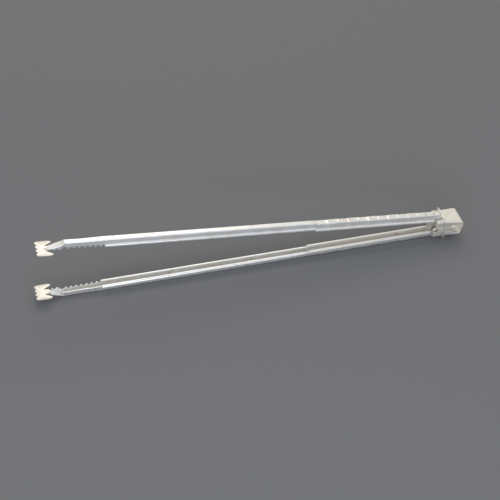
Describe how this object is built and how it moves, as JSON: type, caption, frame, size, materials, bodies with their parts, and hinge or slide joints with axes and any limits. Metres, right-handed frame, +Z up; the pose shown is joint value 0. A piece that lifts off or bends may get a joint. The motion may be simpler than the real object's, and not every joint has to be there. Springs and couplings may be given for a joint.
{
  "type": "crucible tongs",
  "caption": "Long spring tongs of pressed sheet steel with toothed arm edges, toothed fishtail jaws, embossed handles, a bent spring bow and a sliding wire lock ring.",
  "frame": {"origin": "middle of the base of the bounding box, on the surface that the lower arm's web lies on", "axes": "+X from the jaws towards the spring bow, +Y across the arms, +Z up in the plane in which the arms open"},
  "size_m": [0.451, 0.0234, 0.0773],
  "materials": {
    "arm_steel": "bright polished pressed steel with faint lengthwise drawing lines",
    "handle_steel": "bright polished pressed steel, embossed pads worn brighter on their edges",
    "jaw_steel": "bright steel plate with a slightly warm, satin face and sheared toothed edges",
    "spring_steel": "bright spring strip with visible lengthwise brushing",
    "rivet_steel": "dull set rivet heads",
    "ring_wire": "bright plated round wire"
  },
  "bodies": {
    "lower_side": {"lower_front_arm": "arm_steel", "lower_jaw_plate": "jaw_steel", "lower_jaw_rivet": "rivet_steel", "lower_handle": "handle_steel", "lower_tail_rivet_1": "rivet_steel", "lower_tail_rivet_2": "rivet_steel", "spring_bow": "spring_steel"},
    "upper_side": {"upper_front_arm": "arm_steel", "upper_jaw_plate": "jaw_steel", "upper_jaw_rivet": "rivet_steel", "upper_handle": "handle_steel", "upper_tail_rivet_1": "rivet_steel", "upper_tail_rivet_2": "rivet_steel"},
    "ring": {"lock_ring": "ring_wire"}
  },
  "joints": [
    {"name": "arm_squeeze", "type": "hinge", "parent": "lower_side", "child": "upper_side", "pos_m": [0.2205, 0, 0.01505], "axis": [0, -1, 0], "range_deg": [0, 7.9], "stiffness_Nm_per_rad": 9.3, "springref_deg": -2.01, "deforming": ["spring_bow"]},
    {"name": "ring_slide", "type": "slide", "parent": "lower_side", "child": "ring", "axis": [-1, 0, 0], "range_m": [-0.004, 0.0014]}
  ]
}
